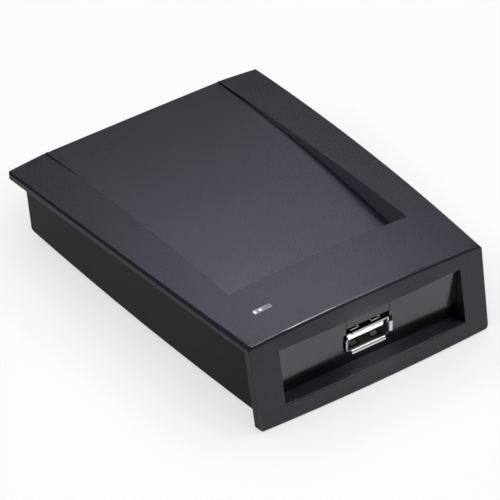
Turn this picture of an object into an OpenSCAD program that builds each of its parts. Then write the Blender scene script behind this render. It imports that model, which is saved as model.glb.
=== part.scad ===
// Desktop contactless smart card reader: a wedge-shaped case with a card tray on top,
// a leaning front bezel with a window, and a USB-A receptacle behind it.
// The case stands on its feet at z = 0, +Y is the low back edge and -Y is the bezel.

/* [Case] */
// Length from the back edge to the foot of the bezel
body_l = 110; // [104:0.5:130]
// Width across the back corners
body_w = 80; // [78:0.5:92]
// How much narrower the case is across the front corners
taper_w = 8.6; // [4:0.2:10]
// Height of the top's front corners
front_h = 24.2; // [23.6:0.1:28]
// Height of the top's back corners
back_h = 16.7; // [16.4:0.1:18.4]
// Rise of the top's crown across the width
crown_x = 1.7; // [1.2:0.1:2.4]
// Rise of the top's crown along the length
crown_y = 1.1; // [0.6:0.1:1.6]
// Outward bow of each long side
side_bow = 1; // [0.2:0.1:1.6]
// Outward bow of the bezel
front_bow = 0.9; // [0.2:0.1:1.4]
// Outward bow of the back edge
back_bow = 0.25; // [0.1:0.05:0.6]
// Radius of the case's upright corners
corner_r = 1.5; // [0.8:0.1:3]
// Size of the soft edge round the top
rim_soft = 0.45; // [0.3:0.05:1]
// Thickness of the cover's roof
roof_t = 1.9; // [1.4:0.1:2.4]

/* [Bezel] */
// Distance that the bezel's foot stands ahead of its head
bezel_reach = 4.5; // [3:0.1:6]
// Thickness of the bezel plate
bezel_t = 2; // [1.6:0.1:2.2]
// Radius of the bezel's lower corners
bezel_corner_r = 1; // [0.6:0.1:2]
// Gap under the bezel
bezel_gap = 0.45; // [0.2:0.05:1.2]
// Width of the bezel beside the window
window_side = 7.5; // [6.8:0.1:11]
// Height of the window's sill above the table
window_z = 5.2; // [4.6:0.1:6]
// Height of the window
window_h = 15.4; // [14:0.1:15.8]
// Wall of the window's frame, behind the plate
frame_t = 1.2; // [0.8:0.1:1.6]

/* [Card tray] */
// Width of the tray at its floor
tray_w = 54.6; // [54.2:0.1:58]
// Length of the deck between the bezel's foot and the tray's front wall
deck_l = 25.8; // [23:0.2:30]
// Height of the tray floor's highest line
tray_z = 19.35; // [19.2:0.05:20]
// Radius of the tray floor's slow curve
tray_r = 430; // [380:10:900]
// Distance from the back edge to the floor's highest line
tray_apex = 45; // [38:0.5:48]
// Draft of the tray's walls, in degrees
tray_draft = 3; // [1:0.5:5]
// Width of the lead-in chamfer at the back of each wall
lead_w = 1.4; // [0.6:0.1:2]
// Length of the lead-in chamfer
lead_l = 34; // [20:1:48]
// Least thickness of the plate under the tray
pan_t = 1.8; // [1.4:0.1:2.1]

/* [Base] */
// Height of the base's underside above the table
base_z = 1.6; // [1.2:0.1:2.2]
// How far the cover stands out over the base's underside at each front corner
front_flange = 3; // [2.5:0.1:3.2]
// How far the cover stands out over the base's underside at each back corner
back_flange = 1.5; // [1:0.1:2]
// Distance from the cover's back edge to the base's back wall
back_overhang = 7; // [5:0.25:9]
// Distance from the top's front corners back to the base's front wall
front_set = 1.2; // [1:0.1:1.8]
// How far the base's front panel stands into the window
panel_t = 1.1; // [0.6:0.1:1.4]
// Outward spread of the base's walls from bottom to top
base_spread = 0.85; // [0.3:0.05:1]
// Thickness of the base's walls
wall_t = 1.8; // [1.2:0.1:2.2]
// Thickness of the base's floor
floor_t = 2; // [1.4:0.1:2.4]
// Radius of the base's upright corners
base_corner_r = 2.4; // [1:0.1:4]
// Size of the soft edge round the base's underside
base_edge = 0.7; // [0.3:0.1:1]

/* [Receptacle] */
// Distance of the receptacle and the window from the case's centre line
port_x = 0.5; // [-2:0.1:2]
// Width of the receptacle's metal shell
port_w = 13.1; // [12.9:0.1:13.3]
// Height of the receptacle's metal shell
port_h = 5.72; // [5.6:0.02:5.9]
// Length of the receptacle's metal shell, without its lips
port_l = 13.2; // [12.6:0.1:14]
// Sheet thickness of the shell
port_t = 0.3; // [0.25:0.05:0.35]
// How far the lips stand out round the mouth
lip_out = 0.7; // [0.5:0.05:0.8]
// Length of the lips
lip_l = 0.8; // [0.6:0.1:1]
// How far the lips stand ahead of the base's front panel
port_proud = 0.8; // [0.4:0.1:1.2]

/* [Light] */
// Length of the indicator's window
light_w = 5.2; // [4:0.1:6]
// Width of the indicator's window
light_d = 1.7; // [1.2:0.1:2.2]
// Distance of the indicator from the case's side
light_inset = 11.1; // [10.7:0.1:13.2]
// Distance of the indicator from the top's front corners
light_set = 10.5; // [9.5:0.1:13]
// How far the indicator stands out of the roof
light_proud = 0.25; // [0:0.05:0.4]

/* [Boards] */
// Height of the main board's top above the table
board_z = 9; // [8.6:0.1:9.4]
// Thickness of the main board
board_t = 1.6; // [1:0.1:1.6]
// Room between the main board's front part and the base's side walls
board_side = 3.6; // [2.9:0.1:4.9]
// Length of the main board's front part
board_front_l = 19.6; // [19:0.2:20.6]
// How far the main board's rear part steps in on each side
board_inset = 4.3; // [4.1:0.1:6.3]
// Distance from the main board to the base's back edge
board_set = 31.4; // [27:0.2:36]
// Room between the antenna board and the tray's side walls
aerial_side = 3.3; // [2.3:0.1:5.3]
// Length of tray that the antenna board leaves free, front and back together
aerial_set = 18.2; // [17:0.2:24]
// Thickness of the antenna board
aerial_t = 1; // [0.8:0.1:1.2]
// Turns of the antenna's winding
aerial_turns = 5; // [3:1:7]
// Distance between the antenna's turns
aerial_step = 1.2; // [1:0.1:1.6]
// Width of the antenna's track
aerial_track = 0.6; // [0.4:0.1:0.8]

/* [Feet and screws] */
// Radius of the rubber feet
foot_r = 4.5; // [3.5:0.1:5]
// Depth of the pockets that hold the feet
foot_pocket = 0.6; // [0.4:0.1:0.8]
// Radius of the case screws' thread core
screw_r = 1.2; // [1:0.05:1.3]
// Radius of the case screws' heads
screw_head_r = 2.7; // [2.4:0.1:2.9]
// Height of the case screws' heads
screw_head_h = 1.9; // [1.4:0.1:2]
// Length of the case screws under the head
screw_l = 8; // [7:0.2:8.6]

/* [Hidden] */

// Facets: slow curves, ordinary round parts, and the steps along a bowed edge
slow_fn = 720;
round_fn = 48;
bow_steps = 8;
corner_steps = 5;
crown_steps = 14;
crown_share = 1.4;
half_turn = 180;
quarter = 90;

// One overrun for every cut, and the clearances between pieces
overrun = 1;
reach = body_l + body_w;
parting_gap = 0.15;
fit_gap = 0.15;
close_gap = 0.05;
rest_gap = 0.1;
board_gap = 0.4;
overlap = 0.4;

// Case lines that the rest follows
front_w = body_w - taper_w;
window_w = front_w - 2 * window_side;
back_y = body_l / 2 - back_bow;
foot_y = front_bow - body_l / 2;
head_y = foot_y + bezel_reach;
top_l = back_y - head_y;
bezel_h = front_h - bezel_gap;
lean_angle = atan(bezel_reach / bezel_h);
tilt_angle = atan((front_h - back_h) / top_l);
mid_y = (back_y + head_y) / 2;
mid_z = (front_h + back_h) / 2;
chord_l = norm([top_l, front_h - back_h]);
crown_half = (body_w + front_w) / 4;
crown_r = (pow(crown_half, 2) + pow(crown_x, 2)) / (2 * crown_x);
crown_spare_angle = 2;
crown_span = 2 * asin(body_w / 2 / crown_r) + crown_spare_angle;
bezel_r = (pow(front_w / 2, 2) + pow(front_bow, 2)) / (2 * front_bow);

// Rim of the top: how its corners differ from the mean crown, and the cut of its soft edge
function rim_rise(half) = crown_x * (1 - pow(half / crown_half, 2));
rim_fall = rim_rise(front_w / 2);
rim_half = crown_half + side_bow;
rim_cut = rim_soft * sin(quarter / 2);
rim_front_z = front_h + rim_fall;
rim_back_z = back_h - rim_fall;

// Tray
tray_l = body_l - deck_l;
tray_front = back_y + back_bow - tray_l;
tray_apex_y = back_y + back_bow - tray_apex;
tray_edge_z = tray_z - pow(max(tray_apex, tray_l - tray_apex), 2) / (2 * tray_r);
pan_z = tray_edge_z - pan_t;
pan_half = tray_w / 2 + pan_t + (front_h - pan_z) * tan(tray_draft);
lead_in_share = 0.5;
lead_out_share = 2;
lead_slope_share = 0.33;
lead_tip_share = 1.9;

// Base
base_front_w = front_w - 2 * front_flange;
base_back_w = body_w - 2 * back_flange;
base_front_y = head_y + front_set;
base_back_y = back_y - back_overhang;
base_l = base_back_y - base_front_y;
floor_z = base_z + floor_t;
base_top_z = front_h + crown_x;
draft_share = (base_top_z - base_z) / (back_h - base_z);
edge_shares = [[0, 1, 0], [0.3, 0.3, 0], [1, 0, 0], [0, 0, 1]];
inner_front_y = base_front_y + wall_t;
panel_y = base_front_y - panel_t;

// Screw posts and wells, with their distances in from the base's sides
post_air = 1.9;
post_back_share = 0.915;
post_front_inset = 7.1;
post_back_inset = 5.5;
post_r = 3;
well_r = 4.2;
post_front_share = (wall_t + board_gap + board_front_l + post_air + well_r) / base_l;
well_h = 5.4;
head_room = 0.3;
well_top_z = base_z + well_h;
shank_clear = 0.4;
ledge_t = 2.4;
head_z = well_top_z - ledge_t - screw_head_h;
drive_l_share = 0.55;
drive_w_share = 0.12;
drive_h_share = 0.5;

// Cover's locating skirt
skirt_t = 1.2;
skirt_h = 2.4;

// Receptacle
mouth_y = panel_y - port_proud;
port_z = board_z + port_h / 2;
slot_gap = 0.2;
lip_gap = 1;
tab_drop = 1;
tab_z = port_z + port_h / 2 + tab_drop;
notch_drop = 0.4;
shell_in_w = port_w - 2 * port_t;
shell_in_h = port_h - 2 * port_t;
tongue_side = 0.7;
tongue_w = shell_in_w - 2 * tongue_side;
tongue_t = 1.84;
tongue_set = 0.9;
tongue_up = 0.85;
block_l = 4;
contact_pitch = 2.5;
contact_middle = 2;
contact_xs = [for (side = [-1, 1], out = [0, 1]) side * (contact_middle / 2 + out * contact_pitch)];
contact_w = 1;
contact_t = 0.25;
contact_l = 7.4;
leg_l = 3;
leg_w = 2.2;
spring_w = 2.2;
spring_l = 5;
spring_slot = 0.4;
spring_dip = 0.35;
spring_share = 0.25;
spring_shares = [[0, 0, 0], [0, 1, 0], [0.55, 1, 1], [0.75, 1, 1], [1, 1, 0], [1, 0, 0],
    [0.75, 0, 1], [0.55, 0, 1]];
lip_side_share = 0.66;
lip_top_share = 0.86;

// Indicator
light_x = front_w / 2 - light_inset;
light_y = head_y + light_set;
light_flange_w = 1;
light_flange_t = 1;
led_w = 2;
led_d = 1.25;
led_h = 0.8;
led_share = 0.28;
light_gap = 0.3;

// Boards
board_w = base_front_w - 2 * (wall_t + board_side);
board_rear_w = board_w - 2 * board_inset;
board_front_y = inner_front_y + board_gap;
board_rear_y = base_back_y - board_set;
board_step_y = board_front_y + board_front_l;
board_under_z = board_z - board_t;
board_hole_r = 1.35;
board_screw_r = 0.9;
board_head_r = 2.2;
board_head_h = 1.3;
board_screw_l = 4.6;
standoff_r = 2.4;
standoff_front_share = [0.88, 0.16];
standoff_back_share = [0.8, 0.854];
aerial_w = tray_w - 2 * aerial_side;
aerial_l = tray_l - aerial_set;
aerial_z = pan_z - rest_gap - aerial_t;
aerial_y = tray_front + tray_l / 2 - back_overhang / 2;
aerial_margin = 2.4;
copper_t = 0.1;
peg_r = 1;
peg_head_r = 1.7;
peg_head_t = 0.5;
peg_share = [0.55, 0.6];
header_pins = 4;
header_step = 2.54;
header_pin = 0.64;
header_body = 2.5;
header_share = 0.898;
header_hole_r = 0.55;
header_y = board_step_y + (board_rear_y - board_step_y) * header_share;
leg_y = mouth_y + lip_l + port_l / 2;
contact_leg_y = mouth_y + lip_l + port_l - block_l / 2;

// Parts on the main board, placed by shares of the part that carries them
chip_lead_t = 0.2;
chip_lead_w = 0.35;
chip_lead_out = 0.9;
chip_lead_step = 0.8;
reader_size = [12.8, 7.5, 2.3];
reader_share = [0, 0.447];
micro_size = [7, 7, 1.4];
micro_share = [0.5, 0.185];
can_l = 11;
can_w = 4.6;
can_h = 3.4;
can_rim_w = 0.4;
reader_crystal_share = [-0.712, 0.447];
clock_crystal_share = [0.5, 0.72];
buzzer_r = 6;
buzzer_h = 8.5;
buzzer_hole_r = 1;
buzzer_gap = 1.15;
buzzer_share = 0.415;
reg_size = [6.5, 3.5, 1.6];
reg_tab = [3, 1.8, 0.3];
reg_lead = [0.8, 1.8, 0.3];
reg_step = 2.3;
reg_share = [-0.5, 0.098];
cap_r = 3.1;
cap_h = 5.6;
cap_foot = 6.6;
cap_foot_h = 0.8;
cap_gap = 2.1;
cap_share = 0.607;
passive_size = [2, 1.25, 0.8];
passive_shares = [[-0.17, 0.12], [0, 0.12], [0.17, 0.12], [-0.17, 0.21], [0, 0.21], [0.17, 0.21],
    [-0.65, 0.72], [-0.5, 0.72], [-0.35, 0.72], [-0.65, 0.63], [-0.5, 0.63], [0.65, 0.44],
    [0.8, 0.44], [0.65, 0.53], [0.8, 0.53]];

// Feet, as shares of the base's length and of its half width there
foot_shares = [0.1, 0.8];
foot_x_share = 0.8;
foot_soft = 0.4;

// Points along a line that bows out to its right
function bowed(p, q, bow) = [for (i = [1 : bow_steps - 1])
    let (t = i / bow_steps, d = (q - p) / norm(q - p))
    p + (q - p) * t + [d[1], -d[0]] * bow * 4 * t * (1 - t)];

// Points of a quarter round that starts at an angle
function rounded(c, r, start) = [for (i = [0 : corner_steps])
    c + r * [cos(start + quarter * i / corner_steps), sin(start + quarter * i / corner_steps)]];

// Plan outline of a tapered case with bowed sides: half widths and lines at the front and the back
function plan(front_half, back_half, front_line, back_line, r, bow, end_bow) = concat(
    bowed([front_half, front_line + r], [back_half, back_line - r], bow),
    rounded([back_half - r, back_line - r], r, 0),
    bowed([back_half - r, back_line], [r - back_half, back_line], end_bow),
    rounded([r - back_half, back_line - r], r, quarter),
    bowed([-back_half, back_line - r], [-front_half, front_line + r], bow),
    rounded([r - front_half, front_line + r], r, half_turn),
    rounded([front_half - r, front_line + r], r, half_turn + quarter));

// Half width of the base's underside at a share of its length
function base_half(share) = base_front_w / 2 + (base_back_w - base_front_w) / 2 * share
    + side_bow * 4 * share * (1 - share);

// Places of the case screws and of the feet beside them
function post_at(side, share, inset) = [side * (base_half(share) - inset),
    base_front_y + base_l * share];
posts = [for (side = [-1, 1], end = [0, 1])
    post_at(side, end == 0 ? post_front_share : post_back_share,
        end == 0 ? post_front_inset : post_back_inset)];

// Places on the main board's front and rear parts, from shares of their half width and length
function on_front(share) = [share[0] * board_w / 2, board_front_y + share[1] * board_front_l];
function on_rear(share) = [share[0] * board_rear_w / 2,
    board_step_y + share[1] * (board_rear_y - board_step_y)];

// Places of the board screws and of the feet
standoffs = [for (side = [-1, 1], place = [on_front(standoff_front_share), on_rear(standoff_back_share)])
    [side * place[0], place[1]]];
feet = [for (side = [-1, 1], share = foot_shares)
    [side * base_half(share) * foot_x_share, base_front_y + base_l * share]];

// Space under the top's crowned face, lowered by a drop
module under_crown(drop) {
    translate([0, mid_y, mid_z])
    rotate([-tilt_angle, 0, 0])
    translate([0, 0, crown_x - crown_r])
    rotate([quarter, 0, 0])
    rotate([0, 0, quarter - crown_span / 2])
    rotate_extrude(angle = crown_span, $fn = slow_fn)
    polygon(concat(
        [[crown_r - 2 * front_h, chord_l * crown_share / 2],
            [crown_r - 2 * front_h, -chord_l * crown_share / 2]],
        [for (i = [0 : crown_steps]) let (t = crown_share * (i / crown_steps - 1 / 2))
            [crown_r + crown_y * (1 - 4 * t * t) - drop, chord_l * t]]));
}

// Space behind the bezel's leaning face, moved back by a distance
module behind_bezel(set) {
    translate([0, foot_y, bezel_gap])
    rotate([-lean_angle, 0, 0])
    translate([0, bezel_r - front_bow, -bezel_h])
    cylinder(r = bezel_r - set, h = 4 * bezel_h, $fn = slow_fn);
}

// Space inside a bowed soft edge that runs over a, m and b, with its face square to n
module rim_side(a, m, b, n) {
    run = (b - a) / norm(b - a);
    flat_out = n - run * (n * run);
    out = flat_out / norm(flat_out);
    axis = cross(run, out);
    mid = (a + b) / 2;
    sag = (m - mid) * out;
    arc_r = (pow(norm(b - a) / 2, 2) + pow(sag, 2)) / (2 * sag);
    centre = mid + out * (sag - arc_r);
    multmatrix([[out[0], run[0], -axis[0], centre[0]], [out[1], run[1], -axis[1], centre[1]],
        [out[2], run[2], -axis[2], centre[2]], [0, 0, 0, 1]])
    cylinder(r = arc_r - rim_cut, h = 4 * body_l, center = true, $fn = slow_fn);
}

// Space inside the soft edge of the right side
module rim_long_side() {
    rim_side([front_w / 2, head_y, rim_front_z],
        [rim_half, mid_y, mid_z + crown_y + rim_rise(rim_half)],
        [body_w / 2, back_y, rim_back_z], [1, 0, 1]);
}

// Space inside all four soft edges of the top
module rim_space() {
    head_rise = (crown_x - rim_fall) * tan(lean_angle);
    intersection() {
        rim_long_side();
        mirror([1, 0, 0])
        rim_long_side();
        rim_side([-front_w / 2, head_y, rim_front_z],
            [0, head_y - front_bow + head_rise, front_h + crown_x],
            [front_w / 2, head_y, rim_front_z], [0, -1, 1]);
        rim_side([body_w / 2, back_y, rim_back_z], [0, back_y + back_bow, back_h + crown_x],
            [-body_w / 2, back_y, rim_back_z], [0, 1, 1]);
    }
}

// Outer envelope of the cover
module cover_envelope(drop) {
    intersection() {
        under_crown(drop);
        behind_bezel(0);
        translate([0, 0, bezel_gap])
        linear_extrude(front_h + 2 * crown_x)
        polygon(plan(front_w / 2, body_w / 2, foot_y - front_bow - corner_r, back_y,
            corner_r, side_bow, back_bow));
    }
}

// Upright block of the base's plan, with drafted walls and a soft lower edge
module base_block(inset, bottom, edge, front_line) {
    hull() {
        for (step = edge_shares)
            translate([0, 0, bottom + step[0] * edge
                + step[2] * (base_top_z - bottom - close_gap)])
            linear_extrude(close_gap)
            let (set = step[2] * base_spread * draft_share - inset - step[1] * edge)
            polygon(plan(base_front_w / 2 + set, base_back_w / 2 + set, front_line,
                base_back_y + set, base_corner_r, side_bow, back_bow));
    }
}

// Space of the card tray, open at the back and on top
module tray_space() {
    run = tray_l + back_bow + overrun;
    rise = front_h + crown_x + overrun - pan_z;
    spread = rise * tan(tray_draft);
    difference() {
        intersection() {
            translate([0, tray_front + run, pan_z])
            rotate([quarter, 0, 0])
            linear_extrude(run)
            polygon([[-tray_w / 2, 0], [tray_w / 2, 0],
                [tray_w / 2 + spread, rise], [-tray_w / 2 - spread, rise]]);
            translate([-reach / 2, tray_front, pan_z])
            cube([reach, reach, rise]);
        }
        translate([-reach / 2, tray_apex_y, tray_z - tray_r])
        rotate([0, quarter, 0])
        cylinder(r = tray_r, h = reach, $fn = slow_fn);
    }
    for (side = [0, 1])
        mirror([side, 0, 0])
        lead_in();
}

// Lead-in chamfer of one tray wall: everything above a plane that rises to the front
module lead_in() {
    toe = [tray_w / 2 + lead_w * lead_in_share, back_y + back_bow + overrun, tray_edge_z - close_gap];
    out = toe + [lead_w * lead_out_share, 0, lead_w * lead_out_share * lead_slope_share];
    tip = [tray_w / 2, back_y - lead_l,
        tray_edge_z + (front_h - back_h) / top_l * lead_l + crown_y * lead_tip_share];
    up = [0, 0, front_h];
    polyhedron(
        points = [tip, toe, out, tip + up, toe + up, out + up],
        faces = [[0, 1, 2], [3, 5, 4], [0, 3, 4, 1], [1, 4, 5, 2], [2, 5, 3, 0]]);
}

// Window opening through the bezel
module window_space(margin) {
    translate([port_x - window_w / 2 - margin, -body_l, window_z - margin])
    cube([window_w + 2 * margin, body_l + base_front_y - parting_gap, window_h + 2 * margin]);
}

// Cover: roof, bezel, tray, window frame, locating skirt, tab, screw posts and aerial pegs
module top_cover() {
    color("#46454b")
    union() {
        difference() {
            union() {
                difference() {
                    intersection() {
                        cover_envelope(0);
                        rim_space();
                    }
                    intersection() {
                        under_crown(roof_t);
                        behind_bezel(bezel_t);
                    }
                }
                intersection() {
                    cover_envelope(overlap);
                    translate([-pan_half, tray_front - pan_t, pan_z])
                    cube([2 * pan_half, tray_l + pan_t + overrun, front_h]);
                }
                intersection() {
                    cover_envelope(overlap);
                    behind_bezel(overlap);
                    difference() {
                        window_space(frame_t);
                        translate([0, 0, -frame_t])
                        window_space(0);
                    }
                }
                intersection() {
                    cover_envelope(overlap);
                    window_space(frame_t);
                    translate([-reach / 2, -reach, 0])
                    cube([reach, reach + base_front_y, window_z]);
                }
                skirt();
                for (place = posts)
                    intersection() {
                        cover_envelope(overlap);
                        translate([place[0], place[1], well_top_z + rest_gap])
                        cylinder(r = post_r, h = front_h, $fn = round_fn);
                    }
                aerial_pegs();
            }
            tray_space();
            window_space(0);
            light_slot();
            for (side = [0, 1])
                mirror([side, 0, 0])
                foot_corner();
            for (place = posts)
                translate([place[0], place[1], well_top_z])
                cylinder(r = screw_r + close_gap, h = screw_l - ledge_t + head_room, $fn = round_fn);
        }
        usb_tab();
    }
}

// What a lower corner of the bezel loses to its round
module foot_corner() {
    translate([front_w / 2 - bezel_corner_r, foot_y, bezel_gap + bezel_corner_r])
    rotate([-lean_angle, 0, 0])
    rotate([quarter, 0, 0])
    difference() {
        translate([0, -2 * bezel_corner_r, -bezel_reach])
        cube([2 * bezel_corner_r, 2 * bezel_corner_r, 2 * bezel_reach]);
        cylinder(r = bezel_corner_r, h = 4 * bezel_reach, center = true, $fn = round_fn);
    }
}

// Skirt that drops inside the base's side and back walls
module skirt() {
    inset = wall_t + fit_gap;
    difference() {
        intersection() {
            cover_envelope(overlap);
            base_block(inset, base_z, base_edge, inner_front_y + inset);
        }
        under_crown(roof_t + skirt_h);
        base_block(inset + skirt_t, base_z, base_edge, inner_front_y - skirt_t);
        translate([-reach / 2, -reach, 0])
        cube([reach, reach + inner_front_y + inset, reach]);
    }
}

// Tab that closes the base's slot above the receptacle
module usb_tab() {
    intersection() {
        cover_envelope(overlap);
        translate([port_x - port_w / 2, panel_y, tab_z])
        cube([port_w, wall_t + panel_t, front_h]);
    }
}

// Pegs that carry the antenna board, with their flattened heads
module aerial_pegs() {
    for (x = [-1, 1], y = [-1, 1])
        translate([x * peg_share[0] * aerial_w / 2, aerial_y + y * peg_share[1] * aerial_l / 2,
            aerial_z - rest_gap - peg_head_t]) {
            cylinder(r = peg_r, h = aerial_t + 2 * rest_gap + peg_head_t + overlap, $fn = round_fn);
            cylinder(r = peg_head_r, h = peg_head_t, $fn = round_fn);
        }
}

// Slot through the roof for the indicator
module light_slot() {
    translate([-light_x - light_w / 2, light_y - light_d / 2, board_z])
    cube([light_w, light_d, front_h]);
}

// Base: floor, drafted walls, screw wells, board standoffs and foot pockets
module base_shell() {
    color("#3a393e")
    difference() {
        union() {
            difference() {
                base_block(0, base_z, base_edge, foot_y - front_bow);
                base_block(wall_t, floor_z, base_edge, inner_front_y);
                frame_pocket();
            }
            front_panel();
            for (place = posts)
                translate([place[0], place[1], base_z + overlap])
                cylinder(r = well_r, h = well_h - overlap, $fn = round_fn);
            for (place = standoffs)
                translate([place[0], place[1], floor_z - overlap])
                cylinder(r = standoff_r, h = board_under_z - floor_z + overlap, $fn = round_fn);
        }
        difference() {
            translate([-reach / 2, -reach / 2, 0])
            cube([reach, reach, 2 * front_h]);
            under_crown(roof_t + parting_gap);
        }
        difference() {
            translate([-reach / 2, -reach, 0])
            cube([reach, reach, 2 * front_h]);
            behind_bezel(bezel_t + parting_gap);
            front_panel();
        }
        pan_notch();
        for (place = posts)
            translate([place[0], place[1], 0]) {
                cylinder(r = screw_head_r + head_room, h = well_top_z - ledge_t, $fn = round_fn);
                cylinder(r = screw_r + shank_clear, h = well_top_z + overrun, $fn = round_fn);
            }
        for (place = standoffs)
            translate([place[0], place[1], floor_z])
            cylinder(r = board_screw_r + close_gap, h = board_under_z, $fn = round_fn);
        for (place = feet)
            translate([place[0], place[1], 0])
            cylinder(r = foot_r + fit_gap, h = base_z + foot_pocket, $fn = round_fn);
        usb_slot();
    }
}

// Pocket ahead of the front wall that takes the window's frame
module frame_pocket() {
    margin = frame_t + fit_gap;
    translate([port_x - window_w / 2 - margin, -reach, window_z - margin])
    cube([window_w + 2 * margin, reach + base_front_y, reach]);
}

// Panel of the base's front wall that fills the window behind the bezel
module front_panel() {
    translate([port_x - window_w / 2 + parting_gap, panel_y, window_z + parting_gap])
    cube([window_w - 2 * parting_gap, panel_t + overlap, window_h - 2 * parting_gap]);
}

// Room in the base's walls for the plate under the tray
module pan_notch() {
    translate([-pan_half - fit_gap, tray_front - pan_t - fit_gap, pan_z - parting_gap])
    cube([2 * (pan_half + fit_gap), reach, front_h]);
}

// Slot in the base's front wall for the receptacle, with room for its lips
module usb_slot() {
    slot_w = port_w + 2 * slot_gap;
    slot_l = panel_t + wall_t + 2 * overrun;
    translate([port_x - slot_w / 2, panel_y - overrun, port_z - port_h / 2 - slot_gap])
    cube([slot_w, slot_l, front_h]);
    translate([port_x - port_w / 2 - lip_gap, panel_y - overrun, port_z - port_h / 2 + notch_drop])
    cube([port_w + 2 * lip_gap, slot_l, port_h - notch_drop]);
}

// Indicator: a clear bar whose foot stands over the lamps on the board
module light_pipe() {
    foot_z = board_z + led_h + light_gap;
    color("#d9dde0", 0.6) {
        intersection() {
            under_crown(-light_proud);
            translate([-light_x - light_w / 2 + close_gap, light_y - light_d / 2 + close_gap, foot_z])
            cube([light_w - 2 * close_gap, light_d - 2 * close_gap, front_h]);
        }
        difference() {
            intersection() {
                under_crown(roof_t + rest_gap);
                translate([-light_x - light_w / 2 - light_flange_w, light_y - light_d / 2 - light_flange_w,
                    foot_z])
                cube([light_w + 2 * light_flange_w, light_d + 2 * light_flange_w, front_h]);
            }
            under_crown(roof_t + rest_gap + light_flange_t);
        }
    }
}

// Main board: a wide front part and a narrower rear part
module main_board() {
    color("#1f6b3a")
    difference() {
        translate([0, 0, board_under_z])
        linear_extrude(board_t)
        polygon([[-board_w / 2, board_front_y], [board_w / 2, board_front_y],
            [board_w / 2, board_step_y], [board_rear_w / 2, board_step_y],
            [board_rear_w / 2, board_rear_y], [-board_rear_w / 2, board_rear_y],
            [-board_rear_w / 2, board_step_y], [-board_w / 2, board_step_y]]);
        for (place = standoffs)
            translate([place[0], place[1], 0])
            cylinder(r = board_hole_r, h = board_z + overrun, $fn = round_fn);
        for (i = [0 : header_pins - 1])
            translate([header_x(i), header_y, 0])
            cylinder(r = header_hole_r, h = board_z + overrun, $fn = round_fn);
        for (side = [-1, 1])
            translate([port_x + side * (port_w - port_t) / 2, leg_y, board_under_z - overrun])
            translate([-port_t / 2 - fit_gap, -leg_w / 2 - fit_gap, 0])
            cube([port_t + 2 * fit_gap, leg_w + 2 * fit_gap, board_t + 2 * overrun]);
        for (x = contact_xs)
            translate([port_x + x, contact_leg_y, board_under_z - overrun])
            cylinder(r = contact_w / 2 + fit_gap, h = board_t + 2 * overrun, $fn = round_fn);
    }
}
function header_x(i) = (i - (header_pins - 1) / 2) * header_step;

// Receptacle shell: folded sheet with flared lips, sprung tongues and two solder legs
module usb_shell() {
    front = mouth_y + lip_l;
    color("#c9cbcf")
    translate([port_x, front, port_z]) {
        difference() {
            translate([-port_w / 2, 0, -port_h / 2])
            cube([port_w, port_l, port_h]);
            translate([-shell_in_w / 2, -overrun, -shell_in_h / 2])
            cube([shell_in_w, port_l - port_t + overrun, shell_in_h]);
            translate([-shell_in_w / 2, port_l - block_l, -port_h])
            cube([shell_in_w, block_l - port_t, port_h]);
            for (side = [-1, 1], level = [-1, 1])
                translate([side * spring_share * port_w, lip_l, level * port_h / 2])
                spring_window();
        }
        for (side = [-1, 1], level = [-1, 1])
            translate([side * spring_share * port_w, lip_l, 0])
            spring(level);
        for (level = [0, 1])
            mirror([0, 0, level])
            lip(port_w * lip_top_share, port_h);
        for (side = [0, 1])
            mirror([side, 0, 0])
            rotate([0, quarter, 0])
            lip(port_h * lip_side_share, port_w);
        for (side = [-1, 1])
            translate([side * (port_w - port_t) / 2 - port_t / 2, leg_y - front - leg_w / 2,
                -port_h / 2 - leg_l])
            cube([port_t, leg_w, leg_l + port_t]);
    }
}

// One flared lip above the mouth
module lip(width, height) {
    translate([-width / 2, 0, height / 2])
    rotate([quarter, 0, quarter])
    linear_extrude(width)
    polygon([[port_t, 0], [0, 0], [-lip_l, lip_out], [-lip_l, lip_out - port_t], [0, -port_t],
        [port_t, -port_t]]);
}

// U-shaped window round a sprung tongue
module spring_window() {
    translate([-spring_w / 2 - spring_slot, 0, -overrun])
    cube([spring_w + 2 * spring_slot, spring_l + spring_slot, 2 * overrun]);
}

// Sprung tongue that dips into the mouth, rooted behind the lip
module spring(level) {
    mirror([0, 0, level > 0 ? 0 : 1])
    translate([-spring_w / 2, spring_l + spring_slot + port_t, port_h / 2 - port_t])
    rotate([quarter, 0, quarter])
    linear_extrude(spring_w)
    polygon([for (point = spring_shares)
        [-spring_l * point[0], port_t * point[1] - spring_dip * point[2]]]);
}

// Insulator: rear block and the tongue in the upper half of the mouth, grooved for the contacts
module usb_insulator() {
    tongue_y = mouth_y + lip_l + tongue_set;
    block_y = mouth_y + lip_l + port_l - block_l;
    color("#e9e9e6")
    difference() {
        union() {
            translate([port_x - tongue_w / 2, tongue_y, port_z + tongue_up - tongue_t / 2])
            cube([tongue_w, block_y - tongue_y + overlap, tongue_t]);
            translate([port_x - shell_in_w / 2 + close_gap, block_y, board_z + rest_gap])
            cube([shell_in_w - 2 * close_gap, block_l - port_t - close_gap,
                port_z + shell_in_h / 2 - close_gap - board_z - rest_gap]);
        }
        for (x = contact_xs)
            translate([port_x + x, 0, 0])
            contact(close_gap);
    }
}

// One contact: a strip under the tongue and a leg through the rear block into the board
module contact(grow) {
    strip_z = port_z + tongue_up - tongue_t / 2;
    tip_y = contact_leg_y - contact_l;
    translate([-contact_w / 2 - grow, tip_y - grow, strip_z - contact_t / 2 - grow])
    cube([contact_w + 2 * grow, contact_l + contact_t / 2 + 2 * grow, contact_t + 2 * grow]);
    translate([-contact_w / 2 - grow, contact_leg_y - contact_t / 2 - grow,
        board_under_z - leg_l / 2 - grow])
    cube([contact_w + 2 * grow, contact_t + 2 * grow,
        strip_z + contact_t / 2 - board_under_z + leg_l / 2 + 2 * grow]);
}

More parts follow.
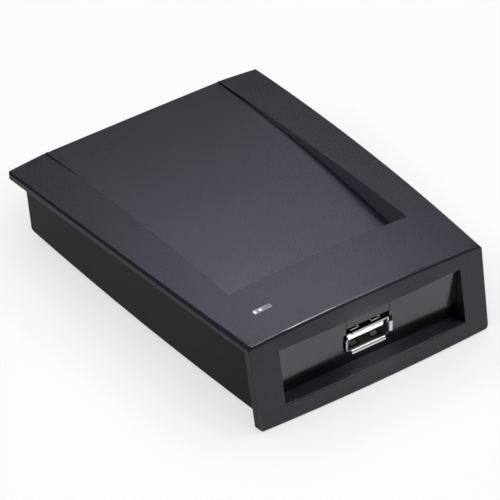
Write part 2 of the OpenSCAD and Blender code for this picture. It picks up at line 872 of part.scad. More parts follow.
// Contacts of the receptacle
module usb_contacts() {
    color("#c9a24a")
    for (x = contact_xs)
        translate([port_x + x, 0, 0])
        contact(0);
}

// Antenna board, held on the pegs under the tray
module antenna_board() {
    color("#1f6b3a")
    difference() {
        translate([-aerial_w / 2, aerial_y - aerial_l / 2, aerial_z])
        cube([aerial_w, aerial_l, aerial_t]);
        for (x = [-1, 1], y = [-1, 1])
            translate([x * peg_share[0] * aerial_w / 2, aerial_y + y * peg_share[1] * aerial_l / 2,
                aerial_z - overrun])
            cylinder(r = peg_r + rest_gap, h = aerial_t + 2 * overrun, $fn = round_fn);
        for (i = [0 : header_pins - 1])
            translate([header_x(i), header_y, aerial_z - overrun])
            cylinder(r = header_hole_r, h = aerial_t + 2 * overrun, $fn = round_fn);
    }
}

// Corners of the antenna's square spiral, from the outside in
function spiral(i) = let (turn = floor(i / 4), k = i % 4,
        inset_x = aerial_margin + max(turn - (k == 0 ? 1 : 0), 0) * aerial_step,
        inset_y = aerial_margin + turn * aerial_step)
    [(k == 0 || k == 3 ? -1 : 1) * (aerial_w / 2 - inset_x),
        aerial_y + (k < 2 ? -1 : 1) * (aerial_l / 2 - inset_y)];

// Antenna winding: one track that runs inwards under the board
module antenna_coil() {
    color("#c77b3a")
    translate([0, 0, aerial_z - copper_t])
    for (i = [0 : 4 * aerial_turns - 2]) {
        p = spiral(i);
        q = spiral(i + 1);
        low = [min(p[0], q[0]), min(p[1], q[1])];
        high = [max(p[0], q[0]), max(p[1], q[1])];
        translate([low[0] - aerial_track / 2, low[1] - aerial_track / 2, 0])
        cube([high[0] - low[0] + aerial_track, high[1] - low[1] + aerial_track, copper_t]);
    }
}

// Pin strip between the main board and the antenna board
module antenna_header() {
    color("#2b2b2e")
    translate([-header_pins * header_step / 2, header_y - header_body / 2, board_z])
    cube([header_pins * header_step, header_body, header_body]);
    color("#c9a24a")
    for (i = [0 : header_pins - 1])
        translate([header_x(i) - header_pin / 2, header_y - header_pin / 2,
            board_under_z - overrun])
        cube([header_pin, header_pin, aerial_z + aerial_t - board_under_z + overrun]);
}

// Flat chip with rows of leads on its sides
module leaded_chip(size, rows) {
    translate([-size[0] / 2, -size[1] / 2, chip_lead_t / 2])
    cube([size[0], size[1], size[2] - chip_lead_t / 2]);
    for (row = [0 : rows - 1])
        rotate([0, 0, row * 2 * half_turn / rows])
        let (edge = (rows == 2 || row % 2 == 0) ? size[1] : size[0],
            across = (rows == 2 || row % 2 == 0) ? size[0] : size[1],
            count = floor((across - chip_lead_step) / chip_lead_step))
        for (i = [0 : count - 1])
            translate([(i - (count - 1) / 2) * chip_lead_step - chip_lead_w / 2,
                edge / 2 - chip_lead_t, 0])
            cube([chip_lead_w, chip_lead_out + chip_lead_t, chip_lead_t]);
}

// Contactless reader chip
module reader_chip() {
    color("#26262a")
    translate([on_rear(reader_share)[0], on_rear(reader_share)[1], board_z])
    leaded_chip(reader_size, 2);
}

// Microcontroller that speaks to the computer
module microcontroller() {
    color("#26262a")
    translate([on_rear(micro_share)[0], on_rear(micro_share)[1], board_z])
    leaded_chip(micro_size, 4);
}

// Metal can of a quartz crystal: flat with round ends
module crystal(share) {
    translate([on_rear(share)[0], on_rear(share)[1], board_z])
    for (rim = [0, 1])
        for (end = [-1, 0, 1])
            if (end == 0)
                translate([-(can_l - can_w) / 2, -can_w / 2 - rim * can_rim_w, 0])
                cube([can_l - can_w, can_w + 2 * rim * can_rim_w, rim == 1 ? can_rim_w : can_h]);
            else
                translate([end * (can_l - can_w) / 2, 0, 0])
                cylinder(r = can_w / 2 + rim * can_rim_w, h = rim == 1 ? can_rim_w : can_h, $fn = round_fn);
}

// Crystals of the reader chip and of the microcontroller
module reader_crystal() {
    color("#b9bbbf")
    crystal(reader_crystal_share);
}
module clock_crystal() {
    color("#b9bbbf")
    crystal(clock_crystal_share);
}

// Round buzzer with its sound hole
module buzzer() {
    color("#2b2b2e")
    translate([port_x + port_w / 2 + buzzer_gap + buzzer_r,
        board_front_y + buzzer_share * board_front_l, board_z])
    difference() {
        cylinder(r = buzzer_r, h = buzzer_h, $fn = round_fn);
        translate([0, 0, buzzer_h / 2])
        cylinder(r = buzzer_hole_r, h = buzzer_h, $fn = round_fn);
    }
}

// Two lamps under the indicator
module status_leds() {
    color("#e8e6c8")
    for (side = [-1, 1])
        translate([side * led_share * light_w - light_x - led_w / 2, light_y - led_d / 2, board_z])
        cube([led_w, led_d, led_h]);
}

// Voltage regulator with its heat tab and three leads
module voltage_regulator() {
    color("#26262a")
    translate([on_rear(reg_share)[0], on_rear(reg_share)[1], board_z]) {
        translate([-reg_size[0] / 2, -reg_size[1] / 2, 0])
        cube(reg_size);
        translate([-reg_tab[0] / 2, reg_size[1] / 2 - reg_tab[2], 0])
        cube(reg_tab);
        for (i = [-1 : 1])
            translate([i * reg_step - reg_lead[0] / 2, reg_lead[2] - reg_size[1] / 2 - reg_lead[1], 0])
            cube(reg_lead);
    }
}

// Electrolytic capacitor on its square foot
module electrolytic_capacitor() {
    color("#b9bbbf")
    translate([port_x - port_w / 2 - cap_gap - cap_foot / 2,
        board_front_y + cap_share * board_front_l, board_z]) {
        translate([-cap_foot / 2, -cap_foot / 2, 0])
        cube([cap_foot, cap_foot, cap_foot_h]);
        cylinder(r = cap_r, h = cap_h, $fn = round_fn);
    }
}

// Small chip parts in rows, as shares of the board
module chip_passives() {
    color("#8a6d4b")
    for (share = passive_shares)
        translate([on_rear(share)[0] - passive_size[0] / 2, on_rear(share)[1] - passive_size[1] / 2,
            board_z])
        cube(passive_size);
}

// Screw with a flat cheese head and a cross recess, pointing up
module screw(r, head_r, head_h, length) {
    difference() {
        union() {
            cylinder(r = head_r, h = head_h, $fn = round_fn);
            translate([0, 0, head_h - close_gap])
            cylinder(r = r, h = length + close_gap, $fn = round_fn);
        }
        for (turn = [0, 1])
            rotate([0, 0, turn * quarter])
            translate([-head_r * drive_l_share, -head_r * drive_w_share, -overrun])
            cube([2 * head_r * drive_l_share, 2 * head_r * drive_w_share,
                overrun + head_h * drive_h_share]);
    }
}

// Screws that draw the cover down on the base
module case_screws() {
    color("#9a9ca1")
    for (place = posts)
        translate([place[0], place[1], head_z])
        screw(screw_r, screw_head_r, screw_head_h, screw_l);
}

// Screws that hold the main board on its standoffs
module board_screws() {
    color("#9a9ca1")
    for (place = standoffs)
        translate([place[0], place[1], board_z + board_head_h])
        rotate([half_turn, 0, 0])
        screw(board_screw_r, board_head_r, board_head_h, board_screw_l);
}

// Rubber foot in its pocket, with a softened rim
module foot(place) {
    color("#2f2f32")
    translate([place[0], place[1], 0])
    rotate_extrude($fn = round_fn)
    polygon([[0, 0], [foot_r - foot_soft, 0], [foot_r, foot_soft],
        [foot_r, base_z + foot_pocket - close_gap], [0, base_z + foot_pocket - close_gap]]);
}

module foot_front_left() {
    foot(feet[0]);
}
module foot_back_left() {
    foot(feet[1]);
}
module foot_front_right() {
    foot(feet[2]);
}
module foot_back_right() {
    foot(feet[3]);
}

top_cover();
base_shell();
light_pipe();
main_board();
usb_shell();
usb_insulator();
usb_contacts();
antenna_board();
antenna_coil();
antenna_header();
reader_chip();
microcontroller();
reader_crystal();
clock_crystal();
buzzer();
status_leds();
voltage_regulator();
electrolytic_capacitor();
chip_passives();
case_screws();
board_screws();
foot_front_left();
foot_front_right();
foot_back_left();
foot_back_right();
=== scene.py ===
import math

import bpy
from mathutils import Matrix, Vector


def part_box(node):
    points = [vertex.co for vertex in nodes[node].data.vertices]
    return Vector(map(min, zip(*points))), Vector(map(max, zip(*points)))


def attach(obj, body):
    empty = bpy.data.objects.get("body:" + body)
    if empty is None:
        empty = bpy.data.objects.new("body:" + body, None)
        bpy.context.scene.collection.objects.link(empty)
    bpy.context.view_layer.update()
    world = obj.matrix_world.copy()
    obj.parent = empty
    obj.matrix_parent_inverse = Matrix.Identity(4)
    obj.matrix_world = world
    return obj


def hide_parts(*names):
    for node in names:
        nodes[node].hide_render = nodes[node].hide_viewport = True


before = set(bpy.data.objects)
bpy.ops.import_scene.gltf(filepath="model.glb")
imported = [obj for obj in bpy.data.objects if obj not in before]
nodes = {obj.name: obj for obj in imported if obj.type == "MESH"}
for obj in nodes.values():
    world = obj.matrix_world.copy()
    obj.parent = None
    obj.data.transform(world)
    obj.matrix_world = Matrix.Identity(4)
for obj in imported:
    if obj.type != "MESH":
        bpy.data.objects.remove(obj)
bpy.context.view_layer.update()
mm = 0.001
weld = 0.001 * mm      # corners of a CAD mesh that are this near are one
squareOn = 0.9         # a face looks along an axis if its normal has this share of it


def linear(hexColour):
    # sRGB hex to the linear values that Blender's sockets take
    channels = []
    for start in (1, 3, 5):
        value = int(hexColour[start:start + 2], 16) / 255
        channels.append(value / 12.92 if value <= 0.04045 else ((value + 0.055) / 1.055) ** 2.4)
    return (*channels, 1.0)


def addNode(tree, kind, settings=None, inputs=None, links=None):
    # inputs are values on the node's sockets, links are {socket: (other node, its output)}
    node = tree.nodes.new(kind)
    for key, value in (settings or {}).items():
        setattr(node, key, value)
    for key, value in (inputs or {}).items():
        node.inputs[key].default_value = value
    for key, (other, output) in (links or {}).items():
        tree.links.new(other.outputs[output], node.inputs[key])
    return node


def newMaterial(name, colour, roughness, **shaderValues):
    # a Principled material; returns it with its tree and shader for the patterns that follow
    material = bpy.data.materials.new(name)
    material.use_nodes = True
    tree = material.node_tree
    shader = tree.nodes["Principled BSDF"]
    shader.inputs["Base Color"].default_value = linear(colour)
    shader.inputs["Roughness"].default_value = roughness
    for key, value in shaderValues.items():
        shader.inputs[key.replace("_", " ")].default_value = value
    return material, tree, shader


def cloudedMaterial(name, colour, roughness, drift, cloudMm, detail=2.0, stretch=None,
                    **shaderValues):
    # a material whose roughness drifts to both sides in clouds, which may be stretched to streaks
    material, tree, shader = newMaterial(name, colour, roughness, **shaderValues)
    place = (addNode(tree, "ShaderNodeTexCoord"), "Object")
    if stretch:
        place = (addNode(tree, "ShaderNodeMapping", inputs={"Scale": stretch},
                         links={"Vector": place}), "Vector")
    cloud = addNode(tree, "ShaderNodeTexNoise",
                    inputs={"Scale": 1 / (cloudMm * mm), "Detail": detail}, links={"Vector": place})
    gloss = addNode(tree, "ShaderNodeMapRange",
                    inputs={"To Min": roughness - drift, "To Max": roughness + drift},
                    links={"Value": (cloud, "Fac")})
    tree.links.new(gloss.outputs["Result"], shader.inputs["Roughness"])
    return material


def selectOnly(piece):
    bpy.ops.object.select_all(action="DESELECT")
    piece.select_set(True)
    bpy.context.view_layer.objects.active = piece


def editMode(kind="FACE"):
    # edit mode with nothing selected
    bpy.ops.object.mode_set(mode="EDIT")
    bpy.ops.mesh.select_mode(type=kind)
    bpy.ops.mesh.select_all(action="DESELECT")


def objectMode():
    bpy.ops.object.mode_set(mode="OBJECT")


def pickFaces(piece, wanted):
    # selects the faces whose centre and normal are wanted, and leaves the piece in edit mode
    editMode("FACE")
    objectMode()
    for face in piece.data.polygons:
        face.select = wanted(face.center, face.normal)
    bpy.ops.object.mode_set(mode="EDIT")


def edgeMiddle(mesh, edge):
    return (mesh.vertices[edge.vertices[0]].co + mesh.vertices[edge.vertices[1]].co) / 2


def edgeRun(mesh, edge):
    return mesh.vertices[edge.vertices[1]].co - mesh.vertices[edge.vertices[0]].co


def pickEdges(piece, wanted, sharpness=None):
    # selects edges by middle and run, of the sharp ones alone where a sharpness is given
    editMode("EDGE")
    if sharpness is not None:
        bpy.ops.mesh.edges_select_sharp(sharpness=sharpness)
    objectMode()
    mesh = piece.data
    for edge in mesh.edges:
        kept = edge.select or sharpness is None
        edge.select = kept and wanted(edgeMiddle(mesh, edge), edgeRun(mesh, edge))
    bpy.ops.object.mode_set(mode="EDIT")


def mergedCopy(nodeName, pieceName):
    # a copy of a CAD node with its loose triangles joined
    piece = bpy.data.objects.new(pieceName, nodes[nodeName].data.copy())
    bpy.context.scene.collection.objects.link(piece)
    piece.data.materials.clear()
    selectOnly(piece)
    editMode()
    bpy.ops.mesh.select_all(action="SELECT")
    bpy.ops.mesh.remove_doubles(threshold=weld)
    objectMode()
    return piece


def applyModifier(piece, kind, **values):
    selectOnly(piece)
    modifier = piece.modifiers.new(kind.title(), kind)
    for key, value in values.items():
        setattr(modifier, key, value)
    bpy.ops.object.modifier_apply(modifier=modifier.name)


def smoothPiece(piece, angle, softPlace=None):
    # smooth up to the angle, and over the edges at a soft place; the big faces keep their own light
    selectOnly(piece)
    bpy.ops.object.shade_smooth_by_angle(angle=angle)
    if softPlace:
        for edge in piece.data.edges:
            if softPlace(edgeMiddle(piece.data, edge)):
                edge.use_edge_sharp = False
    applyModifier(piece, "WEIGHTED_NORMAL", mode="FACE_AREA", weight=50, keep_sharp=True)


def addBlock(name, middle, size):
    bpy.ops.object.select_all(action="DESELECT")
    bpy.ops.mesh.primitive_cube_add(size=1, location=middle, scale=size)
    bpy.ops.object.transform_apply(location=True, rotation=True, scale=True)
    block = bpy.context.active_object
    block.name = name
    return block


def cutAway(piece, middle, size):
    cutter = addBlock("cutter", middle, size)
    applyModifier(piece, "BOOLEAN", operation="DIFFERENCE", object=cutter, solver="EXACT")
    bpy.data.objects.remove(cutter)


def joinPieces(main, others):
    bpy.ops.object.select_all(action="DESELECT")
    for other in others:
        other.select_set(True)
    main.select_set(True)
    bpy.context.view_layer.objects.active = main
    bpy.ops.object.join()


def finishPiece(piece, material, slotName, *replaced):
    piece.data.materials.clear()
    piece.data.materials.append(material)
    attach(piece, "root")
    if replaced:
        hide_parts(*replaced)


# What all the case's ABS has in common.
caseAbs = {
    "ior": 1.53,
    "tint": "#f4f3ff",
    "grainMm": 0.5,        # a real grain is about 0.1 mm, too fine to show, so it is drawn coarser
    "grainDetail": 2.0,
    "grainRoughness": 0.6,
    "sheenDrift": 0.06,    # by which the roughness follows the grain
    "edgeStart": 0.99,     # an edge shines from this turn of its normal on, as a cosine
    "edgeFull": 0.93,      # fully at this one
    "edgePolish": 0.18,    # and is this much less rough there
    "darkFleck": 0.82,     # tone of the grain's low and high spots
    "paleFleck": 1.18,
}


def sparkErodedAbs(name, colour, roughness, heightMm, specular, edgeMm):
    # Injection-moulded ABS from a spark-eroded mould: a fine even grain that breaks up the
    # highlights, and slightly shinier rounded edges that catch a thin line of light.
    material, tree, shader = newMaterial(
        name, colour, roughness, IOR=caseAbs["ior"], Specular_IOR_Level=specular,
        Specular_Tint=linear(caseAbs["tint"]))
    place = addNode(tree, "ShaderNodeTexCoord")
    grain = addNode(tree, "ShaderNodeTexNoise",
                    inputs={"Scale": 1 / (caseAbs["grainMm"] * mm),
                            "Detail": caseAbs["grainDetail"],
                            "Roughness": caseAbs["grainRoughness"]},
                    links={"Vector": (place, "Object")})
    edge = addNode(tree, "ShaderNodeBevel", {"samples": 8}, {"Radius": edgeMm * mm})
    bump = addNode(tree, "ShaderNodeBump", inputs={"Strength": 1.0, "Distance": heightMm * mm},
                   links={"Height": (grain, "Fac"), "Normal": (edge, "Normal")})
    tree.links.new(bump.outputs["Normal"], shader.inputs["Normal"])
    flat = addNode(tree, "ShaderNodeNewGeometry")
    facing = addNode(tree, "ShaderNodeVectorMath", {"operation": "DOT_PRODUCT"},
                     links={0: (edge, "Normal"), 1: (flat, "Normal")})
    polish = addNode(tree, "ShaderNodeMapRange",
                     inputs={"From Min": caseAbs["edgeStart"], "From Max": caseAbs["edgeFull"],
                             "To Min": 0.0, "To Max": caseAbs["edgePolish"]},
                     links={"Value": (facing, "Value")})
    sheen = addNode(tree, "ShaderNodeMapRange",
                    inputs={"To Min": roughness - caseAbs["sheenDrift"],
                            "To Max": roughness + caseAbs["sheenDrift"]},
                    links={"Value": (grain, "Fac")})
    worn = addNode(tree, "ShaderNodeMath", {"operation": "SUBTRACT"},
                   links={0: (sheen, "Result"), 1: (polish, "Result")})
    tree.links.new(worn.outputs["Value"], shader.inputs["Roughness"])
    fleck = addNode(tree, "ShaderNodeMapRange",
                    inputs={"From Min": 0.35, "From Max": 0.65,      # most of the noise lies here
                            "To Min": caseAbs["darkFleck"], "To Max": caseAbs["paleFleck"]},
                    links={"Value": (grain, "Fac")})
    tone = addNode(tree, "ShaderNodeVectorMath", {"operation": "SCALE"},
                   inputs={0: linear(colour)[:3]}, links={"Scale": (fleck, "Result")})
    tree.links.new(tone.outputs["Vector"], shader.inputs["Base Color"])
    return material


coverAbs = sparkErodedAbs("coverSparkErodedAbs", "#302f34", roughness=0.38, heightMm=0.095,
                          specular=0.45, edgeMm=0.2)
# The cover's sides leave the mould along its walls, which drags the grain flatter and duller.
sideAbs = sparkErodedAbs("sideSparkErodedAbs", "#302f34", roughness=0.45, heightMm=0.05,
                         specular=0.25, edgeMm=0.2)
# The base has a mould of its own: a deeper black that hardly shines.
baseAbs = sparkErodedAbs("baseSparkErodedAbs", "#131219", roughness=0.5, heightMm=0.02,
                         specular=0.12, edgeMm=0.3)

# The same ABS off a polished face of the mould: the base's front wall mirrors the table.
polishedAbs = cloudedMaterial(
    "polishedAbs", "#0b0b0d", roughness=0.17, drift=0.04, cloudMm=6, detail=1.0,
    IOR=caseAbs["ior"], Specular_IOR_Level=1.0, Specular_Tint=linear(caseAbs["tint"]))

# The same ABS where hands and cards have rubbed a rim: the grain is gone, so it throws a thin line
# of light.
rubbedAbs = cloudedMaterial(
    "rubbedAbs", "#302f34", roughness=0.22, drift=0.04, cloudMm=3,
    IOR=caseAbs["ior"], Specular_IOR_Level=0.5, Specular_Tint=linear(caseAbs["tint"]))

# Polycarbonate light pipe: a grey clear bar with a faint cloud, two painted highlights as white
# spots at its left end, and painted glow from the spots and the cloud's paler parts. In a colour
# mix, sockets 6 and 7 are its colours and output 2 is the result.
lens = {
    "bar": "#75767a",
    # white of the cloud and of the painted highlights
    "white": "#fafafa",
    # painted shade: the near-black of the bar's front edge
    "paintedShadeColour": "#1c1c1f",
    "paintedShadeTo": 0.25 * mm,       # painted shade darkens the bar's front edge fully up to here and fades out by here
    "paintedShadeEnd": 0.55 * mm,    # and clear from here on
    "spots": ((1.2 * mm, 0.6 * mm), (2.9 * mm, 0.42 * mm)),   # painted highlights, from the bar's left end, and radius
    "below": 0.2 * mm,         # under the bar's top
    "fadeFrom": 0.7,           # a spot fades between these shares of its radius
    "fadeTo": 1.4,
    "cloudMm": 0.9,
    "cloudLow": -0.1,
    "cloudHigh": 0.25,
    # strength of the painted glow from the highlight spots and the cloud
    "glow": 0.4,
}
clearPc, clearTree, clearShader = newMaterial(
    "clearPolycarbonate", "#5d5f65", 0.2, IOR=1.585, Transmission_Weight=0.25)
pipeLow, pipeHigh = (Vector(corner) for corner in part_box("light_pipe"))
clearPlace = addNode(clearTree, "ShaderNodeTexCoord")
clearCloud = addNode(clearTree, "ShaderNodeTexNoise",
                     inputs={"Scale": 1 / (lens["cloudMm"] * mm), "Detail": 1.0},
                     links={"Vector": (clearPlace, "Object")})
clearGrey = addNode(clearTree, "ShaderNodeMapRange",
                    inputs={"To Min": lens["cloudLow"], "To Max": lens["cloudHigh"]},
                    links={"Value": (clearCloud, "Fac")})
cloudAndPaintedHighlight = (clearGrey, "Result")
# painted highlights: white spots near the bar's left end, joined to the cloud
for fromEnd, paintedHighlightRadius in lens["spots"]:
    paintedHighlightAway = addNode(clearTree, "ShaderNodeVectorMath", {"operation": "DISTANCE"},
                       inputs={1: (pipeLow.x + fromEnd, (pipeLow.y + pipeHigh.y) / 2,
                                   pipeHigh.z - lens["below"])},
                       links={0: (clearPlace, "Object")})
    paintedHighlightShare = addNode(clearTree, "ShaderNodeMapRange",
                        inputs={"From Min": paintedHighlightRadius * lens["fadeTo"],
                                "From Max": paintedHighlightRadius * lens["fadeFrom"]},
                        links={"Value": (paintedHighlightAway, "Value")})
    cloudOrPaintedHighlight = addNode(clearTree, "ShaderNodeMath", {"operation": "MAXIMUM"},
                       links={0: cloudAndPaintedHighlight, 1: (paintedHighlightShare, "Result")})
    cloudAndPaintedHighlight = (cloudOrPaintedHighlight, "Value")
clearMix = addNode(clearTree, "ShaderNodeMix", {"data_type": "RGBA"},
                   inputs={6: linear(lens["bar"]), 7: linear(lens["white"])}, links={0: cloudAndPaintedHighlight})
clearSplit = addNode(clearTree, "ShaderNodeSeparateXYZ", links={"Vector": (clearPlace, "Object")})
# painted shade: the bar's front edge is mixed towards near-black, fading out over a fraction of a
# millimetre
paintedShadeFade = addNode(clearTree, "ShaderNodeMapRange",
                     inputs={"From Min": pipeLow.y + lens["paintedShadeTo"],
                             "From Max": pipeLow.y + lens["paintedShadeEnd"]},
                     links={"Value": (clearSplit, "Y")})
paintedShadeMix = addNode(clearTree, "ShaderNodeMix", {"data_type": "RGBA"},
                    inputs={6: linear(lens["paintedShadeColour"])},
                    links={0: (paintedShadeFade, "Result"), 7: (clearMix, 2)})
clearTree.links.new(paintedShadeMix.outputs[2], clearShader.inputs["Base Color"])
# painted glow: the highlight spots and the cloud give off light of their own
paintedGlowShare = addNode(clearTree, "ShaderNodeMath", {"operation": "MULTIPLY"},
                    inputs={1: lens["glow"]}, links={0: cloudAndPaintedHighlight})
clearTree.links.new(paintedGlowShare.outputs["Value"], clearShader.inputs["Emission Strength"])

# Nickel plate on deep-drawn steel strip: bright, with soft rolling streaks along the strip.
nickelPlate = cloudedMaterial("nickelPlatedSteel", "#d2d1cf", roughness=0.18, drift=0.08,
                              cloudMm=4, detail=3.0, stretch=(12.0, 1.0, 12.0), Metallic=1.0)

# The same plate on the strip's inner side, rougher and painted darker: painted shade that keeps the
# mouth dark.
paintedShadeNickel = cloudedMaterial("paintedShadeNickelPlate", "#6d6b67", roughness=0.38, drift=0.08,
                             cloudMm=1.2, Metallic=1.0)

# Glass-filled nylon of the insulator: an opaque satin white with a faint mottle.
whiteNylon, nylonTree, nylonShader = newMaterial("whiteGlassFilledNylon", "#e8e8e4", 0.45, IOR=1.53)
nylonPlace = addNode(nylonTree, "ShaderNodeTexCoord")
nylonMottle = addNode(nylonTree, "ShaderNodeTexNoise",
                      inputs={"Scale": 1 / (0.8 * mm), "Detail": 3.0},
                      links={"Vector": (nylonPlace, "Object")})
nylonColour = addNode(nylonTree, "ShaderNodeMix", {"data_type": "RGBA"},
                      inputs={6: linear("#dedfdb"), 7: linear("#f0f0ed")},
                      links={0: (nylonMottle, "Fac")})
nylonTree.links.new(nylonColour.outputs[2], nylonShader.inputs["Base Color"])
nylonEdge = addNode(nylonTree, "ShaderNodeBevel", {"samples": 6}, {"Radius": 0.12 * mm})
nylonTree.links.new(nylonEdge.outputs["Normal"], nylonShader.inputs["Normal"])

# Gold flash on the contacts: warm and bright, a little duller where the plating runs thin.
goldFlash = cloudedMaterial("goldFlashedBronze", "#e0b765", roughness=0.23, drift=0.07,
                            cloudMm=0.8, Metallic=1.0)

# Green solder mask over woven glass epoxy: satin, with the copper tracks faintly raised.
solderMask, maskTree, maskShader = newMaterial("greenSolderMask", "#14502a", 0.35, IOR=1.55)
maskPlace = addNode(maskTree, "ShaderNodeTexCoord")
maskTracks = addNode(maskTree, "ShaderNodeTexBrick",
                     inputs={"Scale": 1 / (12 * mm), "Mortar Size": 0.02, "Brick Width": 0.9,
                             "Row Height": 0.22, "Color1": linear("#124b27"),
                             "Color2": linear("#165a30"), "Mortar": linear("#2b7d48")},
                     links={"Vector": (maskPlace, "Object")})
maskTree.links.new(maskTracks.outputs["Color"], maskShader.inputs["Base Color"])

# Etched copper of the antenna's track, satin and a little stained.
etchedCopper = cloudedMaterial("etchedCopper", "#c98a5c", roughness=0.38, drift=0.08,
                               cloudMm=1.2, detail=3.0, Metallic=1.0)

# Moulded epoxy of the chips, buzzer and pin strip: black, faintly pitted.
mouldedEpoxy, epoxyTree, epoxyShader = newMaterial("mouldedEpoxy", "#1d1d1f", 0.55, IOR=1.55)
epoxyPlace = addNode(epoxyTree, "ShaderNodeTexCoord")
epoxyPits = addNode(epoxyTree, "ShaderNodeTexNoise",
                    inputs={"Scale": 1 / (0.2 * mm), "Detail": 2.0},
                    links={"Vector": (epoxyPlace, "Object")})
epoxyBump = addNode(epoxyTree, "ShaderNodeBump", inputs={"Distance": 0.01 * mm},
                    links={"Height": (epoxyPits, "Fac")})
epoxyTree.links.new(epoxyBump.outputs["Normal"], epoxyShader.inputs["Normal"])

# Drawn aluminium of the cans: satin, a little streaked upwards by the drawing die.
drawnAluminium = cloudedMaterial("drawnAluminium", "#c3c4c6", roughness=0.3, drift=0.08,
                                 cloudMm=3, stretch=(8.0, 8.0, 1.0), Metallic=1.0)

# Milky epoxy lens of the lamps: diffuse, slightly yellow from the phosphor.
milkyEpoxy = cloudedMaterial("milkyEpoxyLens", "#e4e0c4", roughness=0.3, drift=0.06,
                             cloudMm=0.6, detail=1.0, IOR=1.5, Transmission_Weight=0.2)

# Fired ceramic of the small chip parts: a tan body, dry and finely specked.
firedCeramic = cloudedMaterial("firedCeramic", "#8c7357", roughness=0.5, drift=0.08,
                               cloudMm=0.2, IOR=1.6)

# Zinc plate on the screws: pale, slightly uneven from the barrel.
zincPlate = cloudedMaterial("zincPlatedSteel", "#b9bbbf", roughness=0.335, drift=0.085,
                            cloudMm=1.5, Metallic=1.0)

# Moulded rubber of the feet: dull black with a dry, slightly dusty surface.
footRubber, rubberTree, rubberShader = newMaterial("mouldedRubber", "#242425", 0.8, IOR=1.52)
rubberPlace = addNode(rubberTree, "ShaderNodeTexCoord")
rubberGrain = addNode(rubberTree, "ShaderNodeTexNoise",
                      inputs={"Scale": 1 / (0.4 * mm), "Detail": 3.0},
                      links={"Vector": (rubberPlace, "Object")})
rubberBump = addNode(rubberTree, "ShaderNodeBump", inputs={"Distance": 0.02 * mm},
                     links={"Height": (rubberGrain, "Fac")})
rubberTree.links.new(rubberBump.outputs["Normal"], rubberShader.inputs["Normal"])

print("materials made")

# Cover: the CAD shell with its curves shaded smooth, its front rim and lip worn round.
cover = {
    "smoothAngle": math.radians(12),
    "bezelHalf": 35.7 * mm,      # half the bezel's width
    "cornerDepth": 1.6 * mm,     # the bezel's round lower corners, up from the foot,
    "cornerReach": 2 * mm,       # in from the sides
    "cornerBack": 3 * mm,        # and back from the front
    "rimBefore": -45 * mm,       # the worn front rim of the top
    "rimAbove": 22 * mm,
    "lipBefore": -52 * mm,       # and the window's lower lip
    "lipLow": 4.6 * mm,
    "lipHigh": 6 * mm,
    "rimLevel": 3,               # both run this many times further across than up
    "rimSharpness": math.radians(30),
    "rimRadius": 0.25 * mm,
    "rimSteps": 3,
    "sideBeyond": 33 * mm,       # the outer side faces, by their distance from the middle
    "rubbedFlattest": 0.12,      # the rounded faces, by how far they lean to the front
    "rubbedSteepest": 0.95,
    "tabMiddle": (0.5 * mm, -48 * mm, 16.1 * mm),     # what the tab over the receptacle is short of
    "tabSize": (13.3 * mm, 3.4 * mm, 1 * mm),
    "tabFace": -49.5 * mm,       # its polished face, level with the base's front panel,
    "tabLoose": 0.1 * mm,        # give or take this much
}
coverLow = Vector(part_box("top_cover")[0])
across = Vector((1, 0, 0))


def nearFootCorner(place):
    low = place.z < coverLow.z + cover["cornerDepth"]
    outside = abs(place.x) > cover["bezelHalf"] - cover["cornerReach"]
    return low and outside and place.y < coverLow.y + cover["cornerBack"]


def onFrontRim(middle, run):
    lip = middle.y < cover["lipBefore"] and cover["lipLow"] < middle.z < cover["lipHigh"]
    rim = middle.y < cover["rimBefore"] and middle.z > cover["rimAbove"]
    return (rim or lip) and abs(run.x) > cover["rimLevel"] * abs(run.z)


coverPiece = mergedCopy("top_cover", "coverShell")
pickEdges(coverPiece, onFrontRim, cover["rimSharpness"])
bpy.ops.mesh.bevel(offset=cover["rimRadius"], segments=cover["rimSteps"])
objectMode()
smoothPiece(coverPiece, cover["smoothAngle"], nearFootCorner)
cutAway(coverPiece, cover["tabMiddle"], cover["tabSize"])
finishPiece(coverPiece, coverAbs, "cover_plastic", "top_cover")
for material in (polishedAbs, rubbedAbs, sideAbs):
    coverPiece.data.materials.append(material)
for face in coverPiece.data.polygons:
    onTab = abs(face.center.y - cover["tabFace"]) < cover["tabLoose"]
    leaning = cover["rubbedFlattest"] < -face.normal.y < cover["rubbedSteepest"]
    if onTab and face.normal.y < -squareOn:
        face.material_index = 1
    elif leaning and face.normal.z > 0 and onFrontRim(face.center, across):
        face.material_index = 2
    elif abs(face.normal.x) > squareOn and abs(face.center.x) > cover["sideBeyond"]:
        face.material_index = 3
print("cover done")

# Base: the CAD tub, with the polished front wall that shows in the window.
base = {
    "smoothAngle": math.radians(12),
    "softFoot": 2.5 * mm,            # the round edge under the tub reaches up to here
    "polishedBefore": -47.5 * mm,
}

basePiece = mergedCopy("base_shell", "baseTub")
smoothPiece(basePiece, base["smoothAngle"], lambda middle: middle.z < base["softFoot"])
finishPiece(basePiece, baseAbs, "base_plastic", "base_shell")
basePiece.data.materials.append(polishedAbs)
for face in basePiece.data.polygons:
    if face.center.y < base["polishedBefore"] and face.normal.y < -squareOn:
        face.material_index = 1
print("base done")

